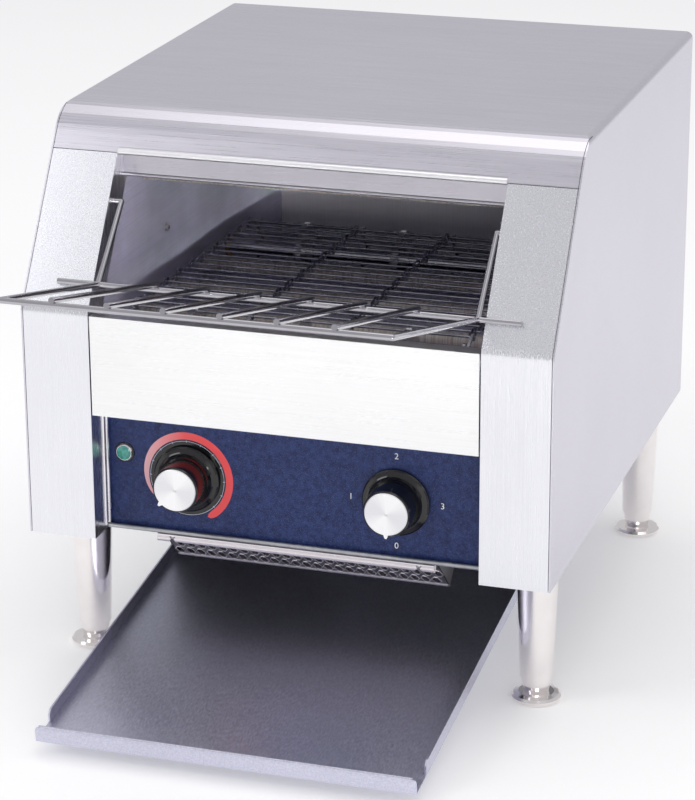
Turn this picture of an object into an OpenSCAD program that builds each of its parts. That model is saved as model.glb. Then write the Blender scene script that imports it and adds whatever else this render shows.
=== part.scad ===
// Conveyor toaster on four legs, with a chrome feed rack, a wire belt between
// quartz heaters, a rear chute and a sloping toast tray under the cabinet.
// Millimetres. +Z is up and the front faces -Y. The modules are drawn with the
// front face at y = 0, and placed() moves them to the origin: the centre of the
// footprint, on the surface that the toaster stands on.

/* [Body] */
// Width over the side panels
body_w = 368; // [360:1:380]
// Depth from the front face to the rear panel
body_d = 418; // [412:1:430]
// Height of the top above the surface
body_h = 387; // [384:1:396]
// Height of the underside of the cabinet
under_z = 103; // [100:1:106]
// Thickness of the cabinet sheet
sheet = 1.2; // [1:0.1:1.3]
// Thickness of the base plate
base_t = 1.5; // [1.2:0.1:2]
// Outer radius of the folds between the top and the sides
fold_r = 5; // [3:0.5:7]

/* [Front] */
// Height of the knee where the front starts to lean back
knee_z = 265; // [262:1:268]
// Lean of the upper front, from the horizontal
lean = 57; // [56:0.5:58]
// Outer radius of the knee bend
knee_r = 12; // [8:1:16]
// Outer radius of the brow, the bend into the top
brow_r = 35; // [30:1:40]
// How far the rolled lower edge of the brow hangs below the top
brow_drop = 27; // [25:1:30]
// Clear width between the front pillars
opening_w = 271.4; // [268:0.2:274]
// Height of the lower edge of the front panel
panel_z0 = 193; // [190:1:196]
// Height of the upper edge of the front panel
panel_z1 = 263; // [261:1:264]
// How far the control panel is set back from the front face
panel_y = 27.6; // [24:0.2:30]
// Depth of the baffle strip below its top, behind the brow
visor_h = 17.6; // [15:0.2:19]

/* [Controls] */
// Height of the two dial axes
dial_z = 144; // [142:1:148]
// Sideways place of the speed dial
speed_x = -78; // [-84:1:-72]
// Sideways place of the selector
selector_x = 71; // [66:1:76]
// Diameter of a dial's skirt
skirt_d = 47; // [44:0.5:50]
// Diameter of a dial's cap
cap_d = 30; // [28:0.5:31]
// How far a dial stands out of the panel
dial_h = 25; // [23:0.5:27]
// Angle of the speed dial's pointer at rest, from the right, seen from the front
speed_rest = 225; // [215:5:235]
// Angle of the selector's pointer at rest
selector_rest = 270; // [260:5:280]
// Sideways place of the pilot lamp
lamp_x = -123.5; // [-125:0.5:-121]
// Height of the pilot lamp
lamp_z = 158; // [155:1:161]

/* [Conveyor] */
// Spacing of the belt's strands
belt_pitch = 12.5; // [12:0.1:13]
// Thickness of the belt wire
belt_wire = 1.8; // [1.6:0.1:2]
// Gap between the belt and the edge of the opening
belt_gap = 14.7; // [12.7:0.5:16.7]
// Number of strand spacings between the two shafts
belt_span = 19; // [18:1:19]
// Depth of the front shaft behind the front face
idler_y = 40; // [39:0.5:42]
// Height of the front shaft
idler_z = 239.8; // [239:0.2:241]
// Fall of the belt towards the rear
belt_drop = 1.5; // [0.5:0.5:2]
// Diameter of the two belt shafts
shaft_d = 12; // [10:1:14]
// Spacing of the drive chain's rollers
chain_pitch = 9.525; // [9.525]
// Number of chain spacings between its two sprockets
chain_span = 11; // [11]
// Lean of the chain from the horizontal
chain_lean = 58; // [56:1:60]

/* [Heaters] */
// Diameter of a quartz tube
tube_d = 10; // [9:0.5:11]
// How far the upper tubes lie below the top of the cabinet
upper_tube_drop = 53; // [52:0.5:54]
// Height of the lower tubes, between the belt's two runs
lower_tube_z = 236.5; // [236:0.5:237]

/* [Feed rack] */
// Thickness of the rack wire
rack_wire = 4; // [3.5:0.1:4.2]
// Gap between the rack's side wires and the edge of the opening
rack_gap = 4.7; // [3.7:0.5:6.7]
// How far each side wire draws in towards the front rod
rack_taper = 6; // [3:0.5:9]
// How far the front rod stands ahead of the front face
rack_reach = 160; // [150:1:165]
// Height of the front rod
rack_front_z = 324; // [318:1:328]
// Height of the rod that leans on the pillars
rack_rest_z = 283; // [280:1:286]
// Depth of the hook pins behind the leaning front
hook_inset = 13.1; // [12.1:0.5:14.1]
// How far the hook pins lie below the top of the cabinet
hook_drop = 59; // [58:0.5:60]
// Spacing of the inner rods
rack_pitch = 36; // [34:0.5:36]

/* [Tray and guard] */
// Gap between the tray and the edge of the opening
tray_gap = 5.4; // [5.2:0.1:6.7]
// Length of the tray along its slope
tray_l = 513; // [500:1:516]
// Slope of the tray
tray_slope = 7.1; // [7:0.1:7.4]
// How far the tray's front stands ahead of the front face
tray_reach = 124; // [118:1:130]
// Height of the tray's front edge above the surface
tray_z = 9; // [8:0.5:12]
// Width of the mesh guard under the control panel
guard_w = 198; // [190:1:204]
// Depth of the guard below the cabinet
guard_h = 30; // [26:1:31]

/* [Legs] */
// How far the legs stand in from the sides
leg_inset = 22; // [20:1:26]
// Depth of the front legs behind the front face
leg_y = 56; // [50:1:60]
// Distance between front and rear legs
leg_span = 317; // [310:1:320]
// Diameter of a leg at the top
leg_d = 28.9; // [27:0.1:30]
// Diameter of a foot's disc
foot_d = 34.4; // [33:0.1:36]

/* [Hidden] */
$fn = 48;
// Facets of thin wires and small pins
wire_fn = 16;

// Clearances: a visible seam, a resting gap and a running fit
seam = 0.4;
rest_gap = 0.3;
run_gap = 0.05;

// Depth of what stands out behind the rear panel, and the move to the origin
gland_out = 12;
y_front = -rack_reach - rack_wire / 2;
y_back = body_d + gland_out;
y_shift = -(y_front + y_back) / 2;

// Main planes of the cabinet
half = body_w / 2;
inner_x = half - sheet;
slot_x = opening_w / 2;
wall_in = slot_x + sheet;
wall_out = wall_in + sheet;
base_top = under_z + base_t;
return_d = panel_y - sheet;
floor_z = panel_z0 + 2;
brow_z = body_h - brow_drop;
wall_top = body_h - 35;
wall_back = body_d - 13;
chute_half = slot_x - 7.7;

// Front outline: the knee and brow bends are arcs between straight stretches
lean_top_y = (body_h - knee_z) / tan(lean);
knee_trim = knee_r * tan((90 - lean) / 2);
brow_trim = brow_r * tan(lean / 2);
knee_c = [knee_r, knee_z - knee_trim];
brow_c = [lean_top_y + brow_trim, body_h - brow_r];

// Belt: each sprocket takes ten strands to a turn
belt_teeth = 10;
belt_r = belt_pitch / (2 * sin(180 / belt_teeth));
belt_run = belt_span * belt_pitch;
belt_count = 2 * belt_span + belt_teeth;
drive_y = idler_y + belt_run * cos(belt_drop);
drive_z = idler_z - belt_run * sin(belt_drop);
belt_half = slot_x - belt_gap;
link_xs = [3 - belt_half, -35, 35, belt_half - 3];
link_gap = 0.25;
link_stagger = belt_wire / 2 + link_gap;
sprocket_xs = [-75, 0, 75];

// Chain: both sprockets take twelve rollers to a turn
chain_teeth = 12;
chain_r = chain_pitch / (2 * sin(180 / chain_teeth));
chain_run = chain_span * chain_pitch;
chain_count = 2 * chain_span + chain_teeth;
chain_x = wall_out + 13.4;
motor_y = drive_y - chain_run * cos(chain_lean);
motor_z = drive_z - chain_run * sin(chain_lean);

// Heaters
upper_tube_z = body_h - upper_tube_drop;
upper_tube_ys = [110, 165, 220, 275];
lower_tube_ys = [100, 160, 220];
cap_r = 8;
cap_l = 18;

// Feed rack: the cross rod leans on the pillars' slope
rack_r = rack_wire / 2;
rack_half = slot_x - rack_gap;
rack_front_half = rack_half - rack_taper;
hook_z = body_h - hook_drop;
hook_y = lean_y(hook_z) + hook_inset;
rack_rest_y = lean_y(rack_rest_z) - (rack_r + rest_gap) / sin(lean);
hook_end = wall_out + 3;

// Fan in the base
fan_c = [0, 140];
fan_side = 80;
fan_h = 25;
fan_bore = 38;

// Tray, in its own sloping frame
tray_t = 1.2;
tray_w = opening_w - 2 * tray_gap;
tray_wall = 10;
tray_lip = 11;
tray_open = 22;
runner_y0 = 257;
runner_y1 = 505;

// Guard under the control panel
guard_y = panel_y - 3.6;
guard_half_d = 31;
guard_screw_r = 2.6;
guard_screw_at = [for (s = [-1, 1]) [s * (guard_w / 2 - 11), guard_y + 0.6]];

// Legs
leg_x = half - leg_inset;
leg_out_z = 17;
foot_stem_r = 10.3;
foot_disc_t = 5.5;

steel = [0.74, 0.74, 0.77];
bright = [0.9, 0.9, 0.92];
dark_steel = [0.35, 0.36, 0.42];
navy = [0.13, 0.17, 0.33];
black = [0.05, 0.05, 0.06];

// ---- helpers ----

function arc(c, r, a0, a1, n = 8) =
    [for (i = [0:n]) let (a = a0 + (a1 - a0) * i / n) [c[0] + r * cos(a), c[1] + r * sin(a)]];
function reversed(v) = [for (i = [len(v) - 1:-1:0]) v[i]];
function shifted(v, dy) = [for (p = v) [p[0] + dy, p[1]]];

// Depth of the leaning front face at height z
function lean_y(z) = (z - knee_z) / tan(lean);

// Front of the cabinet in side view, set in by off and started at height z0
function front_path(off, z0) = concat([[off, z0]],
    arc(knee_c, knee_r - off, 180, 90 + lean), arc(brow_c, brow_r - off, 90 + lean, 90));

// Centres along a closed belt on two equal wheels, in the belt's own plane
function loop_points(r, pitch, span, teeth) = let (step = 360 / teeth, h = teeth / 2) concat(
    [for (j = [0:span]) [j * pitch, r]],
    [for (k = [1:h - 1]) [span * pitch + r * cos(90 - k * step), r * sin(90 - k * step)]],
    [for (j = [0:span]) [(span - j) * pitch, -r]],
    [for (k = [1:h - 1]) [r * cos(-90 - k * step), r * sin(-90 - k * step)]]);

module placed() translate([0, y_shift, 0]) children();

// A side-view outline (y, z) drawn across the machine from x0 over w
module across(x0, w) translate([x0, 0, 0]) rotate([90, 0, 90]) linear_extrude(w) children();

// A front-view outline (x, z) drawn from depth y over d
module deep(y, d) translate([0, y + d, 0]) rotate([90, 0, 0]) linear_extrude(d) children();

module both_sides() {
    children();
    mirror([1, 0, 0]) children();
}

// A bar along X
module x_rod(x0, x1, y, z, r) translate([x0, y, z]) rotate([0, 90, 0]) cylinder(h = x1 - x0, r = r);

// A straight wire between two points
module wire(a, b, r) {
    v = b - a;
    translate(a) rotate([0, acos(v[2] / norm(v)), atan2(v[1], v[0])]) cylinder(h = norm(v), r = r);
}

// A wire through the points, with a ball a little fuller than the wire at each bend
module bent_wire(p, r) {
    for (i = [1:len(p) - 1]) wire(p[i - 1], p[i], r);
    for (i = [1:len(p) - 2]) translate(p[i]) sphere(r + 0.05);
}

// Front view of the cabinet with its two folds, set in by off
module folded_top(off, z0) {
    w = half - off;
    top = body_h - off;
    r = fold_r - off;
    translate([-w, z0]) square([2 * w, top - r - z0]);
    translate([-w + r, z0]) square([2 * (w - r), top - z0]);
    for (s = [-1, 1]) translate([s * (w - r), top - r]) circle(r);
}

// ---- cabinet ----

module cover_block(off, past) {
    intersection() {
        across(-half + off, body_w - 2 * off) polygon(concat(front_path(off, under_z - past),
            [[body_d + past, body_h - off], [body_d + past, under_z - past]]));
        deep(-1, body_d + 3 + past) folded_top(off, under_z - past);
    }
}

// Top and sides in one folded sheet; its tongue bends down as the brow
module outer_cover() color(steel) placed() {
    difference() {
        cover_block(0, 0);
        cover_block(sheet, 1);
        translate([-inner_x, -1, under_z - 1]) cube([2 * inner_x, brow_c[0], brow_z - under_z + 1]);
        both_sides() translate([inner_x - seam, -1, brow_z - 1])
            cube([seam, brow_c[0] + 1, body_h - brow_z + 2]);
    }
    // Rolled hem along the opening
    x_rod(-slot_x + seam, slot_x - seam, lean_y(brow_z) + sheet / 2 / sin(lean), brow_z + 0.6, 2.1);
}

// Louvre: a quarter-round hood open below
module louvre_hood(w) {
    intersection() {
        translate([-w / 2, 0, 0]) rotate([0, 90, 0]) difference() {
            cylinder(h = w, r = 6);
            translate([0, 0, 1]) cylinder(h = w - 2, r = 5);
        }
        translate([-w / 2, 0, 0]) cube([w, 7, 7]);
    }
}

louvre_w = 62;
louvre_xs = [-78, 0, 78];
louvre_zs = [for (i = [0:3]) body_h - 81 + 13 * i];
gland_at = [half - 66, under_z + 29];
gland_r = 8;
rear_screw_at = [for (x = [12 - half, half - 12],
    z = [under_z + 15, (under_z + body_h) / 2 - 5, body_h - 25]) [x, z]];

module rear_panel() color(steel) placed() {
    difference() {
        deep(body_d - sheet, sheet) folded_top(sheet, under_z);
        for (x = louvre_xs, z = louvre_zs) translate([x - louvre_w / 2 + 1, body_d - 3, z])
            cube([louvre_w - 2, 6, 5]);
        translate([gland_at[0], body_d - 3, gland_at[1]]) rotate([-90, 0, 0]) cylinder(h = 6, r = gland_r + 0.1);
    }
    for (x = louvre_xs, z = louvre_zs) translate([x, body_d, z]) louvre_hood(louvre_w);
}

chute_gap = [292, 397];

module base_plate() color(dark_steel) placed() {
    difference() {
        translate([-inner_x, sheet, under_z]) cube([2 * inner_x, body_d - 2 * sheet, base_t]);
        translate([-slot_x, 0, under_z - 1]) cube([2 * slot_x, guard_y, base_t + 2]);
        translate([-chute_half, chute_gap[0], under_z - 1])
            cube([2 * chute_half, chute_gap[1] - chute_gap[0], base_t + 2]);
        translate([fan_c[0], fan_c[1], under_z - 1]) cylinder(h = base_t + 2, r = fan_bore - 1);
        for (p = leg_places()) translate([p[0], p[1], under_z - 1]) cylinder(h = base_t + 2, r = 4);
    }
    // Hem along the front edge, below the control panel
    x_rod(-slot_x + seam, slot_x - seam, guard_y - 0.2, under_z + 1.6, 1.6);
}

// Front pillar: a bent face and a return beside the opening, with the rack's hook hole
module pillar() {
    difference() {
        union() {
            intersection() {
                across(slot_x, inner_x - seam - slot_x)
                    polygon(concat(front_path(0, under_z), reversed(front_path(sheet, under_z))));
                translate([0, -1, under_z]) cube([half, body_d, brow_z - seam - under_z]);
            }
            intersection() {
                across(slot_x, sheet) polygon(concat(front_path(sheet - 0.1, under_z),
                    reversed(shifted(front_path(sheet, under_z), return_d))));
                translate([0, -1, base_top]) cube([half, body_d, brow_z - seam - base_top]);
            }
        }
        x_rod(slot_x - 1, wall_in + 1, hook_y, hook_z, rack_r + 0.08);
    }
}

module left_pillar() color(bright) placed() mirror([1, 0, 0]) pillar();
module right_pillar() color(steel) placed() pillar();

// Bright panel between the pillars, with a flange at its top and at its bottom
module front_panel() color(bright) placed() {
    w = slot_x - 1;
    across(-w, 2 * w) polygon([[0, panel_z0], [panel_y + sheet, panel_z0],
        [panel_y + sheet, panel_z0 + sheet], [sheet, panel_z0 + sheet], [sheet, panel_z1 - sheet],
        [12, panel_z1 - sheet], [12, panel_z1], [0, panel_z1]]);
}

module control_panel() color(navy) placed() {
    difference() {
        translate([-wall_in, panel_y, base_top]) cube([2 * wall_in, sheet, panel_z0 - base_top]);
        for (x = [speed_x, selector_x]) on_panel(x, dial_z) translate([0, 0, -3]) cylinder(h = 6, r = 4.8);
        on_panel(lamp_x, lamp_z) translate([0, 0, -3]) cylinder(h = 6, r = 5);
    }
}

// Hanging baffle behind the brow, with a hemmed lower edge
module visor() color(bright) placed() {
    y = lean_y(brow_z) + 10;
    translate([-slot_x, y, brow_z - visor_h]) cube([2 * slot_x, sheet, visor_h - seam]);
    x_rod(-slot_x, slot_x, y + sheet / 2, brow_z - visor_h, 1.5);
}

module wall(motor_side) {
    difference() {
        across(wall_in, sheet) intersection() {
            polygon(concat(front_path(4, base_top), [[wall_back, body_h], [wall_back, base_top]]));
            square([body_d, wall_top]);
        }
        for (p = [[idler_y, idler_z], [drive_y, drive_z]]) x_rod(wall_in - 1, wall_out + 1, p[0], p[1], 9);
        for (p = tube_places()) x_rod(wall_in - 1, wall_out + 1, p[0], p[1], tube_d / 2 + 0.4);
        x_rod(wall_in - 1, wall_out + 1, hook_y, hook_z, 3.5);
        if (motor_side) x_rod(wall_in - 1, wall_out + 1, motor_y, motor_z, 7);
    }
}

module left_wall() color(dark_steel) placed() mirror([1, 0, 0]) wall(false);
module right_wall() color(dark_steel) placed() wall(true);

// Floor of the toasting chamber, turned down at the rear to close the control bay
module chamber_floor() color(dark_steel) placed() {
    y0 = panel_y + 2;
    y1 = chute_gap[0] - 1;
    across(-wall_in, 2 * wall_in) polygon([[y0, floor_z], [y1 - sheet, floor_z], [y1 - sheet, base_top],
        [y1, base_top], [y1, floor_z + sheet], [y0 + sheet, floor_z + sheet], [y0 + sheet, floor_z + 10],
        [y0, floor_z + 10]]);
}

// Curved slide that turns the falling toast to the front
module rear_chute() color(dark_steel) placed() {
    y = wall_back - 4;
    r = 85;
    c = [y - r, panel_z0 - 1];
    top = wall_top - 12;
    end = -62;
    tip = [sin(end), -cos(end)] * 13;
    outer = concat([[y, top]], arc(c, r, 0, end, 12));
    inner = concat([[y - 1, top]], arc(c, r - 1, 0, end, 12));
    across(-wall_in, 2 * wall_in) polygon(concat(outer, [outer[len(outer) - 1] + tip],
        [inner[len(inner) - 1] + tip], reversed(inner)));
}

function tube_places() = concat([for (y = upper_tube_ys) [y, upper_tube_z]],
    [for (y = lower_tube_ys) [y, lower_tube_z]]);

// Reflector pressed into a trough over each upper tube
module upper_reflector() color(bright) placed() {
    z = upper_tube_z + 7;
    y0 = upper_tube_ys[0] - 29;
    line = concat([[y0, z]],
        [for (y = upper_tube_ys) each [[y - 22, z], [y - 14, z + 7], [y + 14, z + 7], [y + 22, z]]],
        [[wall_back - 6, z]]);
    raised = [for (i = [1:len(line) - 1]) [line[i][0], line[i][1] + 1]];
    across(-wall_in, 2 * wall_in)
        polygon(concat([[y0 - 1, z]], line, reversed(raised), [[y0, z + 1], [y0, z + 6], [y0 - 1, z + 6]]));
}

module lower_reflector() color(bright) placed() {
    z = lower_tube_z - 12;
    y0 = 76;
    y1 = 242;
    across(-wall_in, 2 * wall_in) polygon([[y0, z], [y1, z], [y1, z + 6], [y1 - 1, z + 6], [y1 - 1, z + 1],
        [y0 + 1, z + 1], [y0 + 1, z + 6], [y0, z + 6]]);
}

module heater_tubes(ys, z) for (y = ys) x_rod(-wall_out - 12, wall_out + 12, y, z, tube_d / 2);
module upper_heaters() color([0.95, 0.75, 0.6]) placed() heater_tubes(upper_tube_ys, upper_tube_z);
module lower_heaters() color([0.95, 0.75, 0.6]) placed() heater_tubes(lower_tube_ys, lower_tube_z);

// Ceramic end cap with its terminal stud
module heater_cap(y, z) {
    difference() {
        x_rod(wall_out, wall_out + cap_l, y, z, cap_r);
        x_rod(wall_out - 1, wall_out + 12, y, z, tube_d / 2);
    }
    x_rod(wall_out + cap_l, wall_out + cap_l + 8, y, z, 2);
}

module heater_caps() color("white") placed() both_sides() for (p = tube_places()) heater_cap(p[0], p[1]);

// ---- controls ----

// Places children on the control panel, with their +Z out of its face
module on_panel(x, z) translate([x, panel_y, z]) rotate([90, 0, 0]) children();

module lamp_bezel() color(bright) placed() on_panel(lamp_x, lamp_z)
    rotate_extrude() polygon([[4.2, -10], [5, -10], [5, 0], [6, 0], [6, 1.2], [5.4, 1.9], [4.2, 1.9]]);

module lamp_lens() color("green") placed() on_panel(lamp_x, lamp_z)
    rotate_extrude() polygon(concat([[0, -9], [4.2, -9], [4.2, 1.5]], arc([0, -3], 6.2, 44, 90)));

// Rear half of a rotary control: a threaded bushing and its nut through the panel
module bushing_and_nut() {
    translate([0, 0, -sheet]) cylinder(h = sheet + 7, r = 4.8);
    cylinder(h = 2.4, r = 7, $fn = 6);
}

module shaft_bore() translate([0, 0, -sheet - 10]) cylinder(h = 40, r = 3 + run_gap);

module speed_control() color(dark_steel) placed() on_panel(speed_x, dial_z) {
    difference() {
        union() {
            bushing_and_nut();
            translate([0, 0, -sheet - 12]) cylinder(h = 12, r = 12);
            for (x = [-5, 0, 5]) translate([x - 1, -20, -sheet - 8]) cube([2, 10, 0.8]);
        }
        shaft_bore();
    }
}

module selector_switch() color(dark_steel) placed() on_panel(selector_x, dial_z) {
    difference() {
        union() {
            bushing_and_nut();
            translate([-16, -16, -sheet - 26]) cube([32, 32, 26]);
            for (x = [-12, -4, 4, 12], y = [-12, 12]) translate([x - 2, y - 0.5, -sheet - 34]) cube([4, 1, 8]);
        }
        shaft_bore();
    }
}

module dial_shaft() translate([0, 0, -sheet - 9.6]) cylinder(h = sheet + 9.6 + dial_h - 5, r = 3);
module speed_shaft() color(bright) placed() on_panel(speed_x, dial_z) dial_shaft();
module selector_shaft() color(bright) placed() on_panel(selector_x, dial_z) dial_shaft();

// Skirted dial: a stepped skirt, a tapering hub, a seat for the cap and a hollow for the nut
module dial() {
    skirt_r = skirt_d / 2;
    cap = cap_d / 2;
    hub = cap + 2.6;
    rotate_extrude($fn = 96) polygon([[0, dial_h - 5], [3, dial_h - 5], [3, 11], [9, 11], [9, 1],
        [skirt_r, 1], [skirt_r, 2.6], [skirt_r - 1, 3.6], [skirt_r - 3.4, 4.2], [hub + 1.6, 4.8],
        [hub + 0.6, 6.4], [hub, 9], [cap + 1.2, dial_h - 1.4], [cap + 0.6, dial_h - 0.6],
        [cap, dial_h - 0.6], [cap, dial_h - 1.6], [0, dial_h - 1.6]]);
}

// Spun cap with a pointer nib over the hub's edge
module dial_cap(angle) {
    cap = cap_d / 2;
    rotate_extrude($fn = 96) polygon([[0, dial_h - 1.6], [cap, dial_h - 1.6], [cap, dial_h - 0.4],
        [cap - 0.4, dial_h], [0, dial_h - 0.3]]);
    rotate([0, 0, angle]) translate([cap - 1, 0, dial_h - 0.6]) linear_extrude(0.6)
        polygon([[0, -1.6], [1.2, -1.5], [3.2, -0.6], [3.2, 0.6], [1.2, 1.5], [0, 1.6]]);
}

module speed_knob() color(black) placed() on_panel(speed_x, dial_z) dial();
module selector_knob() color(black) placed() on_panel(selector_x, dial_z) dial();
module speed_knob_cap() color(bright) placed() on_panel(speed_x, dial_z) dial_cap(speed_rest);
module selector_knob_cap() color(bright) placed() on_panel(selector_x, dial_z) dial_cap(selector_rest);

// ---- conveyor ----

// Side view of a link: a leg from its own rod and a hook round the next one
module link_profile() {
    r = belt_wire / 2;
    mid = 2 * r + link_gap;
    clear = mid + 2 * r;
    polygon([[0, r], [belt_pitch, mid + r - 0.05], [belt_pitch + 0.6, mid], [belt_pitch, mid - r + 0.05], [0, -r]]);
    translate([belt_pitch, 0]) difference() {
        circle(mid + r);
        circle(mid - r);
        translate([-clear, -clear]) square([clear - 0.2, 2 * clear]);
    }
}

// One strand of the belt: a rod across, with links that hang it on the next rod. The
// links stand to the left on one strand and to the right on the next, so they pass.
module strand(shift) {
    x_rod(-belt_half, belt_half, 0, 0, belt_wire / 2);
    for (x = link_xs) across(x + shift - belt_wire / 2, belt_wire) link_profile();
}

// Places children in the belt's plane, with the front shaft as its origin
module in_belt() translate([0, idler_y, idler_z]) rotate([-belt_drop, 0, 0]) children();

module conveyor_belt() color([0.3, 0.3, 0.34]) placed() in_belt() {
    $fn = wire_fn;
    p = loop_points(belt_r, belt_pitch, belt_span, belt_teeth);
    for (i = [0:belt_count - 1]) {
        next = p[(i + 1) % belt_count];
        translate([0, p[i][0], p[i][1]]) rotate([atan2(next[1] - p[i][1], next[0] - p[i][0]), 0, 0])
            strand(i % 2 == 0 ? -link_stagger : link_stagger);
    }
}

// Toothed wheel about X with a gullet for each strand or roller
module toothed_wheel(teeth, pitch_r, tip_r, gullet, flare, w, turn) rotate([turn, 0, 0]) rotate([0, 90, 0])
    linear_extrude(w, center = true) difference() {
        circle(tip_r);
        for (k = [0:teeth - 1]) rotate(k * 360 / teeth) {
            translate([pitch_r, 0]) circle(gullet);
            polygon([[pitch_r, -gullet], [tip_r + 1, -gullet - flare], [tip_r + 1, gullet + flare], [pitch_r, gullet]]);
        }
    }

module belt_sprockets() in_belt() {
    for (x = sprocket_xs) translate([x, 0, 0]) difference() {
        union() {
            toothed_wheel(belt_teeth, belt_r, belt_r + 1.6, belt_wire / 2 + 0.45, 0.8, 4, 0);
            x_rod(-7, 7, 0, 0, 11);
        }
        x_rod(-8, 8, 0, 0, shaft_d / 2);
    }
}

module idler_sprockets() color(bright) placed() belt_sprockets();
module drive_sprockets() color(bright) placed()
    translate([0, drive_y - idler_y, drive_z - idler_z]) belt_sprockets();

module idler_shaft() color(bright) placed() x_rod(-wall_out - 8, wall_out + 8, idler_y, idler_z, shaft_d / 2);
module drive_shaft() color(bright) placed() x_rod(-wall_out - 8, chain_x + 9, drive_y, drive_z, shaft_d / 2);

module bushing(y, z) difference() {
    union() {
        x_rod(wall_in - 2, wall_out, y, z, 9);
        x_rod(wall_out, wall_out + 2, y, z, 12);
    }
    x_rod(wall_in - 3, wall_out + 3, y, z, shaft_d / 2 + run_gap);
}

module shaft_bushings() color([0.7, 0.55, 0.3]) placed() both_sides() {
    bushing(idler_y, idler_z);
    bushing(drive_y, drive_z);
}

// Sprocket for the chain, turned so that its gullets face the chain's rollers
module chain_sprocket(y, z, bore) translate([chain_x, y, z]) difference() {
    union() {
        toothed_wheel(chain_teeth, chain_r, chain_r + 2.2, 2.8, 1.6, 3, chain_lean);
        x_rod(0, 7, 0, 0, 11);
    }
    x_rod(-3, 9, 0, 0, bore);
}

module chain_wheel() color(steel) placed() chain_sprocket(drive_y, drive_z, shaft_d / 2);
module motor_sprocket() color(steel) placed() chain_sprocket(motor_y, motor_z, 5);
module motor_shaft() color(bright) placed() x_rod(wall_in - 24, chain_x + 8, motor_y, motor_z, 5);

// Side plate of a chain link
module link_plate(x) translate([x, 0, 0]) {
    for (y = [0, chain_pitch]) x_rod(0, 1, y, 0, 4);
    translate([0, 0, -3.2]) cube([1, chain_pitch, 6.4]);
}

// Inner link: two rollers between two plates; outer link: two pins through its neighbours
module inner_link() difference() {
    union() {
        link_plate(-3.4);
        link_plate(2.4);
        for (y = [0, chain_pitch]) x_rod(-2.5, 2.5, y, 0, 2.5);
    }
    for (y = [0, chain_pitch]) x_rod(-4, 4, y, 0, 1.3);
}

module outer_link() {
    link_plate(-4.6);
    link_plate(3.6);
    for (y = [0, chain_pitch]) x_rod(-5, 5, y, 0, 1.2);
}

module drive_chain() color(dark_steel) placed()
    translate([chain_x, motor_y, motor_z]) rotate([chain_lean, 0, 0]) {
        $fn = wire_fn;
        p = loop_points(chain_r, chain_pitch, chain_span, chain_teeth);
        for (i = [0:chain_count - 1]) {
            next = p[(i + 1) % chain_count];
            translate([0, p[i][0], p[i][1]]) rotate([atan2(next[1] - p[i][1], next[0] - p[i][0]), 0, 0])
                if (i % 2 == 0) inner_link(); else outer_link();
        }
    }

// Gearbox on the inside of the right wall, with the motor across the control bay
module gear_motor() color(dark_steel) placed() translate([wall_in, motor_y, motor_z]) {
    difference() {
        union() {
            translate([-32, -28, -30]) cube([32, 66, 60]);
            x_rod(-92, -32, 0, 0, 27);
            x_rod(-96, -92, 0, 0, 10);
            for (y = [-21, 31], z = [-23, 23]) x_rod(-35, -32, y, z, 3.5);
        }
        x_rod(-24.4, 1, 0, 0, 5 + run_gap);
    }
}

// ---- cooling fan ----

module fan_frame() color(black) placed() translate([fan_c[0], fan_c[1], base_top]) {
    s = fan_side / 2;
    difference() {
        translate([-s, -s, 0]) cube([fan_side, fan_side, fan_h]);
        translate([0, 0, -1]) cylinder(h = fan_h + 2, r = fan_bore);
        for (x = [-1, 1], y = [-1, 1]) translate([x * (s - 4.3), y * (s - 4.3), -1]) cylinder(h = fan_h + 2, r = 2.1);
        for (a = [0:90:270]) rotate(a) translate([s - 6, -26, 5]) cube([8, 52, fan_h - 10]);
    }
    for (a = [45:120:285]) rotate(a) translate([0, -2, 0]) cube([fan_bore + 1, 4, 3]);
    cylinder(h = 7, r = 16);
    cylinder(h = 19, r = 2);
}

module fan_rotor() color(black) placed() translate([fan_c[0], fan_c[1], base_top]) {
    difference() {
        translate([0, 0, 8]) cylinder(h = 14, r = 17);
        translate([0, 0, 7]) cylinder(h = 12.4, r = 2 + run_gap);
    }
    intersection() {
        for (a = [0:360 / 7:359]) rotate(a) translate([16, 0, 15]) rotate([38, 0, 0])
            translate([0, -9, -0.8]) cube([22, 18, 1.6]);
        translate([0, 0, 8.2]) cylinder(h = 13.6, r = fan_bore - 1.5);
    }
}

module fan_guard() color(bright) placed() translate([fan_c[0], fan_c[1], under_z - 1.1]) {
    for (r = [10, 20, 30, fan_bore + 1.5]) rotate_extrude() translate([r, 0]) circle(1.1, $fn = wire_fn);
    for (a = [45, 135]) rotate(a) x_rod(-fan_bore - 1.5, fan_bore + 1.5, 0, -1.6, 1.1, $fn = wire_fn);
}

// ---- feed rack ----

// Chrome wire rack: one bent wire makes both hooks, both sides and the front; the cross
// rod and the inner rods are welded to it
module feed_rack() color(bright) placed() {
    $fn = 24;
    top = rack_r * 1.7;
    rise = (rack_front_z - rack_rest_z) / (rack_reach + rack_rest_y);
    side = [[hook_end, hook_y, hook_z], [rack_half, hook_y, hook_z], [rack_half, rack_rest_y, rack_rest_z],
        [rack_front_half, -rack_reach, rack_front_z], [0, -rack_reach, rack_front_z]];
    both_sides() bent_wire(side, rack_r);
    x_rod(-rack_half - 29, rack_half + 29, rack_rest_y, rack_rest_z, rack_r);
    for (k = [-2.5:2.5]) {
        x = k * rack_pitch;
        wire([x, rack_rest_y + 3, rack_rest_z + top - 3 * rise], [x, -rack_reach - 1.5, rack_front_z + top], rack_r);
    }
}

// ---- tray ----

module in_tray() translate([0, -tray_reach, tray_z]) rotate([tray_slope, 0, 0]) children();

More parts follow.
